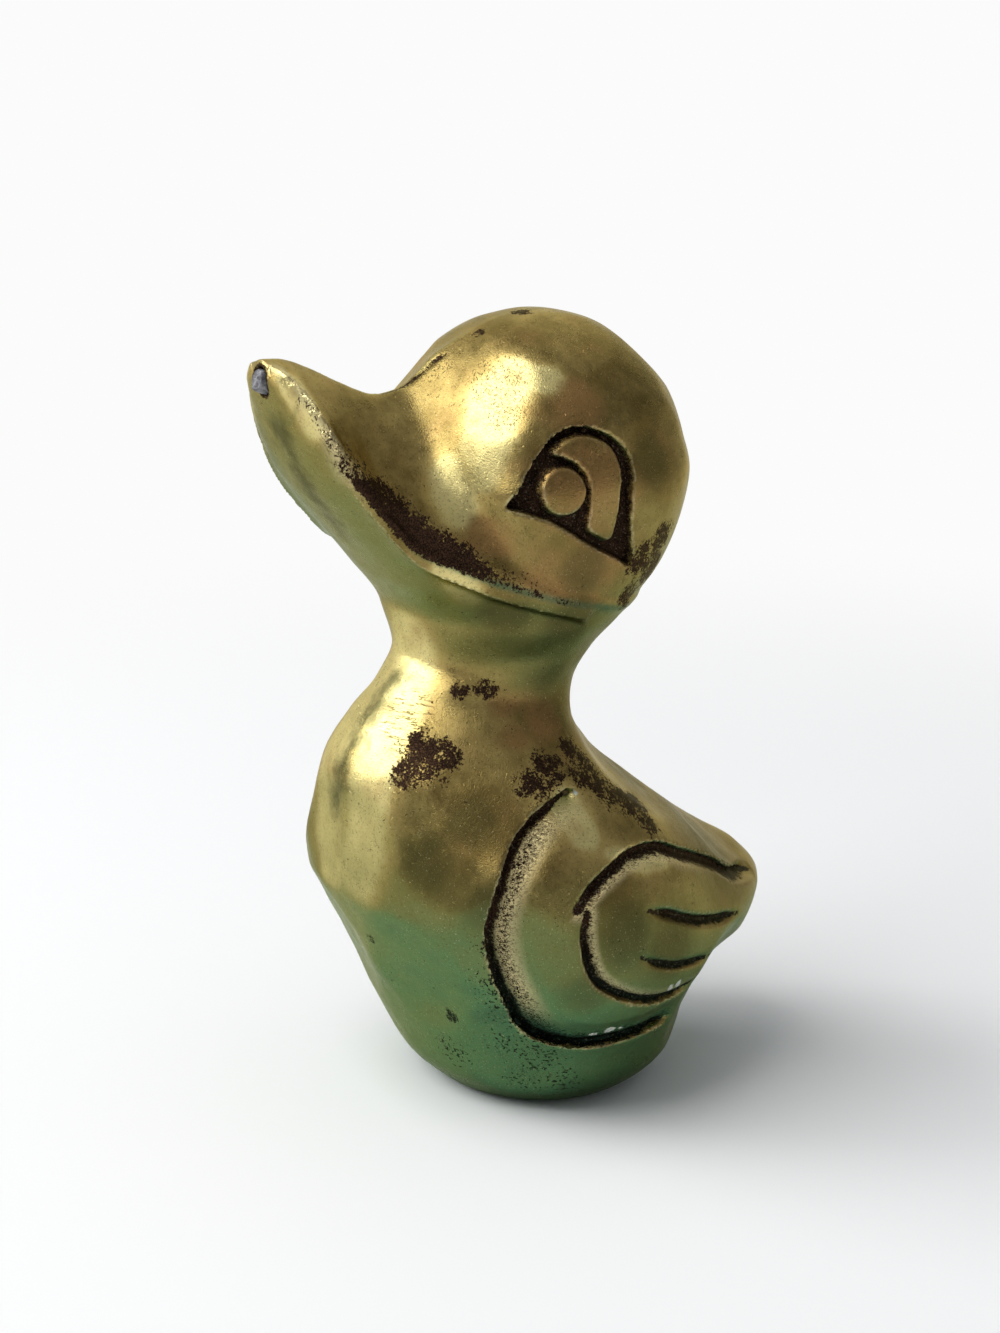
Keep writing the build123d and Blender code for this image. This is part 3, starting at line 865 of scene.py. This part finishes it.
def aged_brass(name, clean=CLEAN, worn=0.0):
    """Old cast brass: polish where hands reach, which also carries painted highlights; brown elsewhere; a
    painted green reflection where the surface faces down; painted shade in spots.
    """
    s = Shader(name)
    up = s.add("ShaderNodeSeparateXYZ")
    s.link(s.add("ShaderNodeNewGeometry").outputs["Normal"], up.inputs[0])
    facing = up.outputs["Z"]
    where = s.add("ShaderNodeSeparateXYZ")
    s.link(s.place, where.inputs[0])
    height = where.outputs["Z"]
    cloud = s.noise(7.0, 4.0, 0.6)
    mottle = s.noise(1.6, 5.0, 0.62)
    fine = s.noise(0.32, 3.0, 0.6)
    grit = s.noise(0.13, 2.0, 0.7)

    # Colour: aged to clean by clouds, paler along the polish runs and darker in the spots of painted shade,
    # then a painted green reflection where the surface turns down.
    share = s.sum(s.times(cloud, 0.9), s.times(mottle, 0.45))
    share = s.sum(share, s.times(s.mark("polish_and_highlight"), 0.42))
    share = s.sum(share, s.times(s.mark("painted_shade"), -0.35))
    brass = s.blend(s.ramp(share, 0.45 - worn, 0.95 - worn), AGED, clean)
    # Polish and painted highlight: the paler colour along the polish runs.
    gleam = s.ramp(s.sum(s.mark("polish_and_highlight"), s.times(mottle, 0.8)), 0.75, 1.25)
    brass = s.blend(s.times(gleam, 0.85), brass, POLISH_AND_HIGHLIGHT)
    rust = s.sum(s.times(s.mark("reddish"), 0.42), s.noise(3.2, 4.0))
    brass = s.blend(s.times(s.ramp(rust, 0.50, 0.92), 0.85), brass, COPPERY)
    # Painted reflection of a green ground: olive, green and teal where the surface faces down, and more of it
    # lower on the body.
    low = s.ramp(height, 52.0, 12.0, -0.16, 0.36)
    down = s.sum(s.sum(s.times(facing, -0.9), low), s.times(s.sum(cloud, -0.5), 0.5))
    down = s.sum(down, s.times(s.mark("polish_and_highlight"), -0.15))
    brass = s.blend(s.times(s.ramp(down, -0.30, 0.34), 0.8), brass, OLIVE)
    brass = s.blend(s.times(s.ramp(down, 0.12, 0.85), 0.9), brass, GREEN)
    teal_reflection = s.higher(s.ramp(down, 0.7, 1.1), s.times(s.mark("teal_reflection"), 0.8))
    brass = s.blend(s.times(teal_reflection, 0.7), brass, TEAL)
    # Painted shade: the spots of painted shade turn dark olive.
    deep = s.ramp(s.sum(s.mark("painted_shade"), s.times(cloud, 0.6)), 0.75, 1.45)
    brass = s.blend(s.times(deep, 0.6), brass, SHADED)
    edge = s.mark("edge")
    bright = s.ramp(s.sum(edge, s.times(fine, 0.8)), 0.9, 1.9)
    brass = s.blend(s.times(s.higher(bright, s.times(s.mark("lip"), 0.8)), 0.5), brass, WORN_EDGE)
    coarse = s.mark("coarse")
    grain = s.noise(0.25, 3.0, 0.72, ((0.0, 0.0, 0.0), (1.0, 0.6, 1.4)), 1.2)
    # Painted shade on the coarse bevels: bright cut metal only above 10 to 15 mm, darker below.
    sunlit = s.times(coarse, s.ramp(height, 10.0, 15.0))
    brass = s.blend(s.times(sunlit, 0.80), brass, CUT_METAL)
    brass = s.blend(s.times(s.ramp(s.noise(0.24, 4.0, 0.75), 0.53, 0.66), 0.50), brass, PIT)
    brass = s.blend(s.times(s.ramp(s.noise(0.16, 2.0, 0.7), 0.62, 0.74), 0.35), brass, SPARK)

    # Dark patina: in the cuts, in patches that break up into bits, and in small pits.
    bits = s.sum(s.times(s.noise(1.1, 4.0, 0.7), 0.45), s.times(s.noise(0.24, 4.0, 0.75), 0.55))
    rag = s.sum(s.times(s.sum(grain, -0.5), 1.0), s.times(s.sum(s.noise(1.3, 3.0, 0.6), -0.5), 0.7))
    groove = s.ramp(s.sum(s.mark("groove"), rag), 0.36, 0.54)
    patch = s.ramp(s.sum(bits, s.times(s.mark("patch"), 0.27)), 0.565, 0.60)
    pitted = s.ramp(s.sum(grain, s.times(coarse, 0.12)), 0.605, 0.645)
    stipple = s.ramp(s.sum(s.noise(0.30, 3.0, 0.6), s.times(s.mark("stipple"), 0.10)), 0.655, 0.69)
    crevice = s.ramp(s.sum(s.times(edge, -1.0), s.times(fine, 0.5)), 0.65, 1.15)
    specks = s.times(s.ramp(s.noise(0.30, 2.0, 0.5), 0.69, 0.73), s.ramp(cloud, 0.38, 0.6))
    dark = s.higher(s.higher(groove, patch), s.higher(s.times(crevice, 0.8), s.times(specks, 0.85)))
    dark = s.higher(dark, s.times(pitted, coarse))
    dark = s.higher(dark, s.times(stipple, s.ramp(s.mark("stipple"), 0.0, 0.2)))
    soil = s.blend(s.ramp(grit, 0.40, 0.68), SOIL, PALE_SOIL)
    soil = s.blend(s.ramp(height, 22.0, 12.0), soil, GREEN_SOIL)
    stain = s.ramp(s.sum(s.mark("stain"), s.times(s.sum(s.noise(2.0, 4.0, 0.6), mottle), 1.1)), 1.25, 2.2)
    brass = s.blend(s.times(stain, 0.8), brass, STAIN)
    pale_grain = s.times(s.ramp(s.noise(0.2, 2.0), 0.60, 0.68), s.times(groove, 0.45))
    soil = s.blend(pale_grain, soil, GRAIN)
    colour = s.blend(dark, brass, soil)
    chalk = s.ramp(s.sum(s.mark("chalk"), s.times(fine, 0.9)), 0.62, 0.8)
    colour = s.blend(chalk, colour, DRIED_POLISH)
    s.link(colour, s.surface.inputs["Base Color"])

    s.surface.inputs["Specular Tint"].default_value = (*EDGE_TINT, 1.0)
    metal = s.sum(1.0, chalk, "SUBTRACT", True)
    s.link(metal, s.surface.inputs["Metallic"])
    rough = s.sum(0.27, s.times(s.ramp(mottle, 0.35, 0.75), 0.12))
    rough = s.sum(rough, s.times(s.mark("painted_shade"), 0.06))
    rough = s.sum(rough, s.times(coarse, 0.20))
    rough = s.sum(rough, s.times(s.higher(s.times(dark, 0.6), chalk), 0.4), clamp=True)
    s.link(rough, s.surface.inputs["Roughness"])

    # Relief: soft casting waves, fine pits, grain in the cut places, and file strokes.
    waves = s.bump(s.noise(2.4, 2.0, 0.5), 0.10, 0.6)
    pits = s.ramp(s.noise(0.42, 3.0, 0.55), 0.62, 0.78)
    relief = s.sum(s.times(pits, -0.40), s.times(grit, 0.38))
    relief = s.sum(relief, s.times(s.noise(0.5, 2.0, 0.5, ((0.5, 0.2, 0.9), (7.0, 0.7, 7.0))), 0.16))
    relief = s.sum(relief, s.times(s.noise(0.5, 2.0, 0.5, ((-0.4, 0.6, -0.5), (0.7, 7.0, 7.0))), 0.16))
    relief = s.sum(relief, s.times(s.times(grain, coarse), -2.2))
    for kind, stretch in enumerate(STROKE_WAYS):
        scratch = s.ramp(s.noise(1.0, 2.0, 0.5, stretch), 0.58, 0.66)
        relief = s.sum(relief, s.times(s.times(scratch, s.mark("strokes_%d" % kind)), -1.6))
    relief = s.sum(relief, s.times(s.times(s.mark("lip"), s.ramp(s.noise(0.9, 3.0), 0.5, 0.65)), -2.2))
    relief = s.sum(relief, s.times(dark, -0.5))
    s.link(s.bump(relief, 0.10, 0.75, waves), s.surface.inputs["Normal"])
    return s.material


def dull_metal(name, low, high, roughness, size, metallic=1.0):
    """Plain grey or brown metal with blotches and small scratches."""
    s = Shader(name)
    blotch = s.noise(size, 5.0, 0.65)
    colour = s.blend(s.ramp(blotch, 0.35, 0.68), low, high)
    pits = s.ramp(s.noise(size * 0.25, 2.0), 0.62, 0.72)
    colour = s.blend(s.times(pits, 0.8), colour, tuple(0.25 * v for v in low))
    s.link(colour, s.surface.inputs["Base Color"])
    s.surface.inputs["Metallic"].default_value = metallic
    s.link(s.sum(roughness, s.times(blotch, 0.2)), s.surface.inputs["Roughness"])
    scratch = s.noise(size * 0.4, 2.0, 0.5, ((0.0, 0.0, 0.7), (1.0, 12.0, 1.0)))
    s.link(s.bump(s.sum(blotch, s.times(scratch, 0.4)), 0.08, 0.6), s.surface.inputs["Normal"])
    return s.material


BRASS = aged_brass("aged_brass")
BRAZE = aged_brass("polished_braze", CLEAN_BRAZE, 0.04)
LEAD = dull_metal("grey_solder", (0.10, 0.10, 0.11), (0.30, 0.30, 0.31), 0.45, 0.5, 0.9)
PLATE = dull_metal("dull_plate", (0.30, 0.22, 0.10), (0.55, 0.43, 0.22), 0.35, 2.5)


# Pieces.
def mesh_of(name, points, quads, facts):
    """A mesh in metres with one number per vertex for each fact."""
    mesh = bpy.data.meshes.new(name)
    mesh.from_pydata((points * MM).tolist(), [], quads.tolist())
    for key, values in facts.items():
        mesh.attributes.new(key, "FLOAT", "POINT").data.foreach_set("value", values.astype(np.float32))
    return mesh


def cut_piece(name, whole, planes):
    """A closed part of the whole skin between planes across X."""
    bm = bmesh.new()
    bm.from_mesh(whole)
    for place, way in planes:
        parts = bm.verts[:] + bm.edges[:] + bm.faces[:]
        bmesh.ops.bisect_plane(bm, geom=parts, dist=1e-9, plane_co=(place * MM, 0, 0),
                               plane_no=(way, 0, 0), clear_inner=True)
        rim = [e for e in bm.edges if e.is_boundary]
        bmesh.ops.holes_fill(bm, edges=rim, sides=0)
    mesh = bpy.data.meshes.new(name)
    bm.to_mesh(mesh)
    bm.free()
    return mesh


SHARP_ANGLE = 50


def show(name, mesh, material, node):
    """A smooth-shaded piece that rides on the root and stands for CAD nodes."""
    mesh.materials.append(material)
    mesh.shade_smooth()
    mesh.set_sharp_from_angle(angle=math.radians(SHARP_ANGLE))
    obj = bpy.data.objects.new(name, mesh)
    bpy.context.scene.collection.objects.link(obj)
    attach(obj, "root")
    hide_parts(node)
    return obj


points, quads = skin()
points[:, 2] = np.maximum(points[:, 2], 0.0)
whole = mesh_of("whole", points, quads, marks(points, bulge(points, quads)))
show("cast_left_half", cut_piece("cast_left_half", whole, [(SEAM, 1)]), BRASS, "left_half")
show("cast_right_half", cut_piece("cast_right_half", whole, [(-SEAM, -1)]), BRASS, "right_half")
show("brazed_seam", cut_piece("brazed_seam", whole, [(-SEAM, 1), (SEAM, -1)]), BRAZE, "seam_braze")
bpy.data.meshes.remove(whole)


# The plug: distance outwards as a share of its radius and depth of each ring, and its middle.
PLUG_RINGS = [(0.30, -0.16), (0.58, -0.06), (0.80, -0.08), (0.93, 0.12), (1.0, 0.6), (1.03, PLUG_DEPTH - 0.1)]
PLUG_MIDDLE, PLUG_SIDES, PLUG_FIT, PLUG_FRONT = -0.12, 40, 0.95, 1.0


def plug():
    """Soft metal in the tip's hole, a little dished and lumpy, with a dark gap round it."""
    axis = np.array(PLUG_AIM) - np.array(PLUG_TOP)
    axis /= np.linalg.norm(axis)
    across = np.array((1.0, 0.0, 0.0))
    up = np.cross(across, axis)
    verts, faces = [], []
    middle = np.array(PLUG_TOP)
    for radius, deep in PLUG_RINGS:
        for k in range(PLUG_SIDES):
            a = 2 * math.pi * k / PLUG_SIDES
            lump = oval = 0
            if deep < PLUG_FRONT:
                lump = 0.05 * math.sin(3 * a + radius * 5) + 0.04 * math.sin(5 * a + 1.0)
                oval = 0.04 * math.sin(2 * a + 0.6)
            r = radius * (1 + oval) * PLUG_RADIUS * PLUG_FIT
            verts.append(middle + axis * (deep + lump) + (across * math.cos(a) + up * math.sin(a)) * r)
    last = (len(PLUG_RINGS) - 1) * PLUG_SIDES
    for start in range(0, last, PLUG_SIDES):
        for k in range(PLUG_SIDES):
            a, b = start + k, start + (k + 1) % PLUG_SIDES
            faces.append((a, b, b + PLUG_SIDES, a + PLUG_SIDES))
    verts.append(middle + axis * PLUG_MIDDLE)
    faces += [(len(verts) - 1, (k + 1) % PLUG_SIDES, k) for k in range(PLUG_SIDES)]
    faces.append(tuple(range(last, last + PLUG_SIDES)))
    mesh = bpy.data.meshes.new("bill_plug")
    mesh.from_pydata([tuple(v * MM) for v in verts], [], faces)
    bm = bmesh.new()
    bm.from_mesh(mesh)
    bmesh.ops.recalc_face_normals(bm, faces=bm.faces[:])
    bm.to_mesh(mesh)
    bm.free()
    return mesh


show("bill_plug", plug(), LEAD, "bill_tip_plug")
for node, material in (("base_plate", PLATE), ("base_solder", LEAD)):
    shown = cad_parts[node]
    shown.data.materials.clear()
    shown.data.materials.append(material)


# Studio.
# The sky: colour, and its strength by height. The paper: colour, its own glow, and where that starts.
SKY, SKY_HEIGHTS, SKY_LEVELS = (0.95, 0.97, 1.0, 1.0), (-0.1, 0.9), (0.10, 0.42)
PAPER, GLOW, GLOW_PLACES = (0.93, 0.93, 0.93, 1.0), (0.965, 0.965, 0.965, 1.0), (75.0, 230.0)
# The sweep, in metres: half widths of floor and wall, front and back edge of the floor, the bend, the top.
FLOOR_HALF, WALL_HALF, FRONT, BACK, BEND, BEND_STEPS, TOP = 2.0, 0.8, -1.2, 0.7, 0.5, 12, 1.8
# Lamps: name, azimuth, elevation, size in metres, power in watts.
LAMPS = (
    ("key", -6.0, 56.0, 0.68, 4.8),
    ("window", -46.0, 24.0, 0.46, 3.1),
    ("glint", 152.0, 9.0, 0.07, 0.09),
)
LAMP_DISTANCE, LAMP_TARGET = 800.0, (0, 0, 35)


def studio():
    """A pale sweep behind the duck, soft boxes and an even sky that is dimmer at its rim."""
    scene = bpy.context.scene
    scene.view_settings.view_transform = "Standard"
    world = bpy.data.worlds.new("sky")
    world.use_nodes = True
    tree = world.node_tree
    sky = tree.nodes["Background"]
    sky.inputs["Color"].default_value = SKY
    rise = tree.nodes.new("ShaderNodeSeparateXYZ")
    tree.links.new(tree.nodes.new("ShaderNodeTexCoord").outputs["Generated"], rise.inputs[0])
    level = tree.nodes.new("ShaderNodeMapRange")
    for key, number in zip(("From Min", "From Max", "To Min", "To Max"), SKY_HEIGHTS + SKY_LEVELS):
        level.inputs[key].default_value = number
    tree.links.new(rise.outputs["Z"], level.inputs["Value"])
    # Where the camera sees past the sweep, the sky is as white as the sweep.
    seen = tree.nodes.new("ShaderNodeLightPath").outputs["Is Camera Ray"]
    shown = tree.nodes.new("ShaderNodeMath")
    shown.operation = "MAXIMUM"
    tree.links.new(level.outputs["Result"], shown.inputs[0])
    tree.links.new(seen, shown.inputs[1])
    tree.links.new(shown.outputs[0], sky.inputs["Strength"])
    scene.world = world

    paper = Shader("paper")
    paper.surface.inputs["Base Color"].default_value = PAPER
    paper.surface.inputs["Roughness"].default_value = 0.9
    paper.surface.inputs["Specular IOR Level"].default_value = 0.1
    glow = paper.add("ShaderNodeEmission")
    glow.inputs["Color"].default_value = GLOW
    rays = paper.add("ShaderNodeLightPath").outputs
    seen = paper.sum(rays["Is Camera Ray"], rays["Is Glossy Ray"])
    seen = paper.sum(seen, rays["Is Transmission Ray"], clamp=True)
    away = paper.add("ShaderNodeVectorMath", operation="LENGTH")
    paper.link(paper.place, away.inputs[0])
    mix = paper.add("ShaderNodeMixShader")
    paper.link(paper.times(seen, paper.ramp(away.outputs["Value"], *GLOW_PLACES)), mix.inputs[0])
    paper.link(paper.surface.outputs["BSDF"], mix.inputs[1])
    paper.link(glow.outputs[0], mix.inputs[2])
    paper.link(mix.outputs[0], paper.out.inputs["Surface"])
    bm = bmesh.new()
    profile = [(FRONT, 0.0), (BACK, 0.0)]
    for a in np.linspace(0.1, math.pi / 2, BEND_STEPS):
        profile.append((BACK + BEND * math.sin(a), BEND - BEND * math.cos(a)))
    profile.append((BACK + BEND, TOP))
    rows = []
    for y, z in profile:
        half = FLOOR_HALF if z == 0 else WALL_HALF
        rows.append([bm.verts.new((x, y, z)) for x in (-half, half)])
    for low, high in zip(rows, rows[1:]):
        bm.faces.new((low[0], low[1], high[1], high[0]))
    mesh = bpy.data.meshes.new("sweep")
    bm.to_mesh(mesh)
    bm.free()
    mesh.materials.append(paper.material)
    mesh.shade_smooth()
    sweep = bpy.data.objects.new("sweep", mesh)
    scene.collection.objects.link(sweep)
    sweep.rotation_euler = (0, 0, math.radians(AZIMUTH))

    for name, azimuth, elevation, size, power in LAMPS:
        lamp = bpy.data.lights.new(name, "AREA")
        lamp.shape = "SQUARE"
        lamp.size = size
        lamp.energy = power
        aimed(name, lamp, azimuth, elevation, LAMP_DISTANCE, LAMP_TARGET)


studio()
